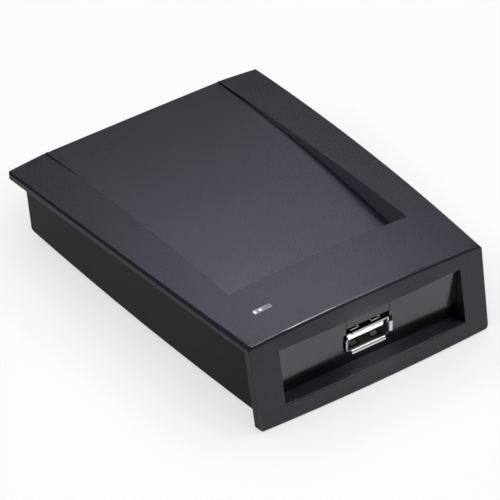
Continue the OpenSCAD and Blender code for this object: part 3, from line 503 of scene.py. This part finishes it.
# Light pipe: a bar with round corners on a flange under the roof.
pipe = {
    "flange": 1 * mm,
    "flangeThick": 1 * mm,
    "flangeBelow": 2.85 * mm,  # the flange's top under the bar's
    "uprightRun": 5 * mm,      # the bar's upright edges are longer than this
    "cornerSoft": 0.4 * mm,
    "cornerSteps": 4,
    "topSoft": 0.12 * mm,
    "topRise": 0.5,            # share of that by which the top stands up
    "slopeAcross": 0.058,      # the crown's slope at the pipe, up to the middle
    "slopeAlong": 0.038,       # and down to the back
    "smoothAngle": math.radians(40),
}
pipeMiddle = (pipeLow + pipeHigh) / 2
pipeSize = pipeHigh - pipeLow - Vector((2 * pipe["flange"], 2 * pipe["flange"], 0))
pipePiece = addBlock("lightPipe", pipeMiddle, pipeSize)
pickEdges(pipePiece, lambda middle, run: abs(run.z) > pipe["uprightRun"])
bpy.ops.mesh.bevel(offset=pipe["cornerSoft"], segments=pipe["cornerSteps"])
objectMode()
for vertex in pipePiece.data.vertices:
    if vertex.co.z > pipeMiddle.z:
        vertex.co.z -= pipe["slopeAcross"] * (pipeHigh.x - vertex.co.x)
        vertex.co.z -= pipe["slopeAlong"] * (vertex.co.y - pipeLow.y)
pickFaces(pipePiece, lambda centre, normal: normal.z > squareOn)
bpy.ops.mesh.inset(thickness=pipe["topSoft"])
bpy.ops.transform.translate(value=(0, 0, pipe["topRise"] * pipe["topSoft"]))
objectMode()
flangeTop = pipeHigh.z - pipe["flangeBelow"]
flangePiece = addBlock("pipeFlange",
                       (pipeMiddle.x, pipeMiddle.y, flangeTop - pipe["flangeThick"] / 2),
                       (pipeHigh.x - pipeLow.x, pipeHigh.y - pipeLow.y, pipe["flangeThick"]))
joinPieces(pipePiece, [flangePiece])
smoothPiece(pipePiece, pipe["smoothAngle"])
finishPiece(pipePiece, clearPc, "clear_plastic", "light_pipe")
print("light pipe done")

# Receptacle's shell: folded strip with flared lips and sprung tongues.
receptacle = {
    "sheet": 0.3 * mm,
    "foldRadius": 0.6 * mm,
    "foldSteps": 5,
    "lipReach": 0.7 * mm,
    "lipFlare": ((0.25, 0.02), (0.15, 0.1), (0.07, 0.2), (0.03, 0.38)),  # forward and out, in mm
    "levelLipShare": 0.88,
    "sideLipShare": 0.7,
    "longRun": 5 * mm,         # the strip's long edges are longer than this
    "shortRun": 2 * mm,        # and its short ones than this
    "onFace": 0.01 * mm,       # this near a face is on it
    "springWidth": 2.2 * mm,
    "springLength": 5 * mm,
    "springSlot": 0.4 * mm,
    "springPlace": 0.25,
    "springCuts": 8,
    "springDip": 0.35 * mm,
    "springKnee": 0.7,         # share of its length at which a spring dips most,
    "springKneeWidth": 0.16,   # the half length of that dip
    "springTip": 0.9,          # and the share from which its tip turns in again
    "springTipSlope": 2,
    "bodyHeight": 5.72 * mm,
    "legWidth": 2.2 * mm,
    "blockLength": 4 * mm,
    "cutDepth": 2 * mm,
    "edgeSoft": 0.05 * mm,
    "edgeSteps": 2,
    "edgeSharpness": math.radians(50),
    "smoothAngle": math.radians(35),
    "innerShare": 0.8,         # of the sheet; further in, a face is on the inner side
}
sheet = receptacle["sheet"]
longRun = receptacle["longRun"]
shortRun = receptacle["shortRun"]
onFace = receptacle["onFace"]
shellLow, shellHigh = (Vector(corner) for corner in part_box("usb_shell"))
lipLength = sum(step[0] for step in receptacle["lipFlare"]) * mm + sheet
mouthY = shellLow.y + lipLength
bodyTop = shellHigh.z - receptacle["lipReach"]
bodyFoot = bodyTop - receptacle["bodyHeight"]
bodyLeft = shellLow.x + receptacle["lipReach"]
bodyRight = shellHigh.x - receptacle["lipReach"]
bodyMiddle = Vector(((bodyLeft + bodyRight) / 2, (mouthY + shellHigh.y) / 2,
                     (bodyTop + bodyFoot) / 2))
bodySize = Vector((bodyRight - bodyLeft, shellHigh.y - mouthY, receptacle["bodyHeight"]))

shellPiece = addBlock("receptacleShell", bodyMiddle, bodySize)
pickEdges(shellPiece, lambda middle, run: abs(run.y) > longRun)
bpy.ops.mesh.bevel(offset=receptacle["foldRadius"], segments=receptacle["foldSteps"])
pickFaces(shellPiece, lambda centre, normal: normal.y < -squareOn)
bpy.ops.mesh.delete(type="FACE")

# the four sides of the mouth: which edges they have, where their lip goes, and how wide it is
lipSides = (
    (lambda middle, run: middle.z > bodyTop - onFace and abs(run.x) > longRun,
     (0, 0, 1), "levelLipShare"),
    (lambda middle, run: middle.z < bodyFoot + onFace and abs(run.x) > longRun,
     (0, 0, -1), "levelLipShare"),
    (lambda middle, run: middle.x < bodyLeft + onFace and abs(run.z) > shortRun,
     (-1, 0, 0), "sideLipShare"),
    (lambda middle, run: middle.x > bodyRight - onFace and abs(run.z) > shortRun,
     (1, 0, 0), "sideLipShare"),
)
for wanted, out, shareName in lipSides:
    pickEdges(shellPiece, lambda middle, run: middle.y < mouthY + onFace and wanted(middle, run))
    for number, (forward, outward) in enumerate(receptacle["lipFlare"]):
        bpy.ops.mesh.extrude_edges_move(TRANSFORM_OT_translate={
            "value": (out[0] * outward * mm, -forward * mm, out[2] * outward * mm)})
        if number == 0:
            share = receptacle[shareName]
            bpy.ops.transform.resize(value=(1 if out[0] else share, 1, share if out[0] else 1))
    objectMode()

applyModifier(shellPiece, "SOLIDIFY", thickness=sheet, offset=-1.0, use_even_offset=True)

springStart = mouthY + lipLength
springReach = receptacle["springLength"] + receptacle["springSlot"]
springBack = springStart + springReach
springs = []
for side in (-1, 1):
    for level in (-1, 1):
        place = Vector((bodyMiddle.x + side * receptacle["springPlace"] * bodySize.x,
                        springStart + springReach / 2,
                        bodyMiddle.z + level * bodySize.z / 2))
        cutAway(shellPiece, place, (receptacle["springWidth"] + 2 * receptacle["springSlot"],
                                    springReach, receptacle["cutDepth"]))
        bpy.ops.object.select_all(action="DESELECT")
        bpy.ops.mesh.primitive_plane_add(
            size=1, location=(place.x, place.y + receptacle["springSlot"] / 2, place.z))
        spring = bpy.context.active_object
        spring.scale = (receptacle["springWidth"], receptacle["springLength"], 1)
        bpy.ops.object.transform_apply(location=True, rotation=True, scale=True)
        pickEdges(spring, lambda middle, run: abs(run.y) > shortRun)
        bpy.ops.mesh.subdivide(number_cuts=receptacle["springCuts"])
        objectMode()
        for vertex in spring.data.vertices:
            far = (springBack - vertex.co.y) / receptacle["springLength"]
            knee = (far - receptacle["springKnee"]) / receptacle["springKneeWidth"]
            tip = max(far - receptacle["springTip"], 0) * receptacle["springTipSlope"]
            vertex.co.z -= level * (math.exp(-knee ** 2) + tip) * receptacle["springDip"]
        if level < 0:
            editMode()
            bpy.ops.mesh.select_all(action="SELECT")
            bpy.ops.mesh.flip_normals()
            objectMode()
        applyModifier(spring, "SOLIDIFY", thickness=sheet, offset=-1.0)
        springs.append(spring)
cutAway(shellPiece,
        (bodyMiddle.x, shellHigh.y - receptacle["blockLength"] / 2 - sheet, bodyFoot),
        (bodySize.x - 2 * sheet, receptacle["blockLength"], receptacle["cutDepth"]))
legHeight = bodyFoot - shellLow.z + sheet
legs = [addBlock("leg", (x, bodyMiddle.y, shellLow.z + legHeight / 2),
                 (sheet, receptacle["legWidth"], legHeight))
        for x in (bodyLeft + sheet / 2, bodyRight - sheet / 2)]
joinPieces(shellPiece, springs + legs)
applyModifier(shellPiece, "BEVEL", width=receptacle["edgeSoft"], segments=receptacle["edgeSteps"],
              limit_method="ANGLE", angle_limit=receptacle["edgeSharpness"])
smoothPiece(shellPiece, receptacle["smoothAngle"])
finishPiece(shellPiece, nickelPlate, "plated_sheet", "usb_shell")
shellPiece.data.materials.append(paintedShadeNickel)
innerX = bodySize.x / 2 - receptacle["innerShare"] * sheet
innerZ = bodySize.z / 2 - receptacle["innerShare"] * sheet
# painted shade: the faces inside the mouth, short of the springs, take the darker plate
for face in shellPiece.data.polygons:
    sideways = abs(face.center.x - bodyMiddle.x)
    inside = sideways < innerX and abs(face.center.z - bodyMiddle.z) < innerZ
    fromSpring = abs(sideways - receptacle["springPlace"] * bodySize.x)
    onSpring = fromSpring < receptacle["springWidth"] / 2 and face.center.y < springBack
    if inside and face.center.y > mouthY and not onSpring:
        face.material_index = 1
print("receptacle's shell done", len(shellPiece.data.polygons))

# Finishes of the CAD nodes that stand as they are.
finishes = {
    "main_board": (solderMask, "circuit_board"),
    "usb_insulator": (whiteNylon, "white_insulator"),
    "usb_contacts": (goldFlash, "contact_metal"),
    "antenna_board": (solderMask, "circuit_board"),
    "antenna_coil": (etchedCopper, "copper_track"),
    "antenna_header": (mouldedEpoxy, "chip_body"),
    "reader_chip": (mouldedEpoxy, "chip_body"),
    "microcontroller": (mouldedEpoxy, "chip_body"),
    "reader_crystal": (drawnAluminium, "can_metal"),
    "clock_crystal": (drawnAluminium, "can_metal"),
    "buzzer": (mouldedEpoxy, "chip_body"),
    "status_leds": (milkyEpoxy, "led_lens"),
    "voltage_regulator": (mouldedEpoxy, "chip_body"),
    "electrolytic_capacitor": (drawnAluminium, "can_metal"),
    "chip_passives": (firedCeramic, "ceramic_chip"),
    "case_screws": (zincPlate, "screw_steel"),
    "board_screws": (zincPlate, "screw_steel"),
    "foot_front_left": (footRubber, "foot_rubber"),
    "foot_front_right": (footRubber, "foot_rubber"),
    "foot_back_left": (footRubber, "foot_rubber"),
    "foot_back_right": (footRubber, "foot_rubber"),
}
for nodeName, (material, slotName) in finishes.items():
    nodes[nodeName].data.materials.clear()
    nodes[nodeName].data.materials.append(material)
print("nodes finished")

# Studio: white table, soft lamps and the camera of the photo.
studio = {
    "floorSize": 6.0,
    "floorColour": "#f4f4f4",
    "white": "#ffffff",
    "floorWhite": 0.96,          # share of plain white that the camera sees over the lit floor
    "mirroredWhite": 0.85,       # and that glossy and clear surfaces mirror
    "contactReach": 0.03,        # how far the object's own soft shadow spreads over the white,
    "contactFrom": 0.3,          # the openness at which it is darkest
    "contactWhite": 0.72,        # and what is left of the white there
    "worldColour": "#f0f0fc",
    "worldStrength": 0.1,
    "cameraPlace": (-0.5092, -0.7187, 0.7004),
    "cameraAzimuth": math.radians(-35.282),
    "cameraElevation": math.radians(38.202),
    "lens": 311.25,
    "sensor": 36,
    "farthest": 20,
}

paper = bpy.data.materials.new("studioPaper")
paper.use_nodes = True
paperTree = paper.node_tree
paperTree.nodes.clear()
paperDiffuse = addNode(paperTree, "ShaderNodeBsdfDiffuse",
                       inputs={"Color": linear(studio["floorColour"])})
paperContact = addNode(paperTree, "ShaderNodeAmbientOcclusion", {"samples": 8},
                       {"Distance": studio["contactReach"]})
paperDim = addNode(paperTree, "ShaderNodeMapRange",
                   inputs={"From Min": studio["contactFrom"], "To Min": studio["contactWhite"]},
                   links={"Value": (paperContact, "AO")})
paperWhite = addNode(paperTree, "ShaderNodeEmission", inputs={"Color": linear(studio["white"])},
                     links={"Strength": (paperDim, "Result")})
paperRay = addNode(paperTree, "ShaderNodeLightPath")
paperMirrored = addNode(paperTree, "ShaderNodeMath", {"operation": "MAXIMUM"},
                        links={0: (paperRay, "Is Glossy Ray"),
                               1: (paperRay, "Is Transmission Ray")})
paperMirroredShare = addNode(paperTree, "ShaderNodeMath", {"operation": "MULTIPLY"},
                             inputs={1: studio["mirroredWhite"]},
                             links={0: (paperMirrored, "Value")})
paperShare = addNode(paperTree, "ShaderNodeMath", {"operation": "MULTIPLY_ADD"},
                     inputs={1: studio["floorWhite"]},
                     links={0: (paperRay, "Is Camera Ray"), 2: (paperMirroredShare, "Value")})
paperMix = addNode(paperTree, "ShaderNodeMixShader",
                   links={0: (paperShare, "Value"), 1: (paperDiffuse, "BSDF"),
                          2: (paperWhite, "Emission")})
addNode(paperTree, "ShaderNodeOutputMaterial", links={"Surface": (paperMix, "Shader")})

bpy.ops.object.select_all(action="DESELECT")
bpy.ops.mesh.primitive_plane_add(size=studio["floorSize"], location=(0, 0, 0))
floor = bpy.context.active_object
floor.name = "studioFloor"
floor.data.materials.append(paper)

world = bpy.data.worlds.new("studioWorld")
bpy.context.scene.world = world
world.use_nodes = True
worldTree = world.node_tree
worldTree.nodes.clear()
worldLight = addNode(worldTree, "ShaderNodeBackground",
                     inputs={"Color": linear(studio["worldColour"]),
                             "Strength": studio["worldStrength"]})
worldSeen = addNode(worldTree, "ShaderNodeBackground",
                    inputs={"Color": linear(studio["white"]), "Strength": 1.0})
worldRay = addNode(worldTree, "ShaderNodeLightPath")
worldMix = addNode(worldTree, "ShaderNodeMixShader",
                   links={0: (worldRay, "Is Camera Ray"), 1: (worldLight, "Background"),
                          2: (worldSeen, "Background")})
addNode(worldTree, "ShaderNodeOutputWorld", links={"Surface": (worldMix, "Shader")})

# Two big soft boxes light all of it. The narrow ones stand behind grids, for the sheen before the
# tray, the worn rim, the receptacle's mouth and the tray's right wall.
lamps = {
    "topBox": {"place": (0.42, 0.67, 0.84), "aim": (0, 0, 0.02), "size": 0.5, "spread": 180,
               "power": 1.95, "colour": "#f4f4fd"},
    "frontBox": {"place": (0.36, -0.2, 0.72), "aim": (0, 0, 0.02), "size": 0.42, "spread": 180,
                 "power": 2.1, "colour": "#f4f4fd"},
    "gridBox": {"place": (0.25, 0.35, 0.6), "aim": (-0.012, -0.03, 0.02), "size": 0.05,
                "spread": 8, "power": 0.0007, "colour": "#f4f4fd"},
    "rimBox": {"place": (0.25, 0.09, 0.82), "aim": (-0.032, -0.045, 0.025), "size": 0.1,
               "spread": 7, "power": 0.014, "colour": "#f4f4fd"},
    "portBox": {"place": (-0.2, -0.5, 0.33), "aim": (0.0005, -0.05, 0.012), "size": 0.012,
                "spread": 1.6, "power": 0.0011, "colour": "#ffffff"},
    "wallBox": {"place": (-0.58, 0.0, 0.18), "aim": (0.027, -0.005, 0.0215), "size": 0.09,
                "high": 0.008, "spread": 1.6, "power": 0.0027, "colour": "#f4f4fd",
                "glare": False},
}
for lampName, values in lamps.items():
    lampData = bpy.data.lights.new(lampName, "AREA")
    lampData.shape = "RECTANGLE"
    lampData.size = values["size"]
    lampData.size_y = values.get("high", values["size"])
    lampData.energy = values["power"]
    lampData.color = linear(values["colour"])[:3]
    lampData.spread = math.radians(values["spread"])
    lamp = bpy.data.objects.new(lampName, lampData)
    lamp.visible_glossy = values.get("glare", True)
    lamp.location = values["place"]
    towards = Vector(values["aim"]) - lamp.location
    lamp.rotation_euler = towards.to_track_quat("-Z", "Y").to_euler()
    bpy.context.scene.collection.objects.link(lamp)

cameraData = bpy.data.cameras.new("photoCamera")
cameraData.sensor_width = studio["sensor"]
cameraData.lens = studio["lens"]
cameraData.clip_end = studio["farthest"]
camera = bpy.data.objects.new("photoCamera", cameraData)
camera.location = studio["cameraPlace"]
camera.rotation_euler = (math.pi / 2 - studio["cameraElevation"], 0, studio["cameraAzimuth"])
bpy.context.scene.collection.objects.link(camera)
bpy.context.scene.camera = camera
bpy.context.scene.view_settings.view_transform = "Standard"
print("studio done")
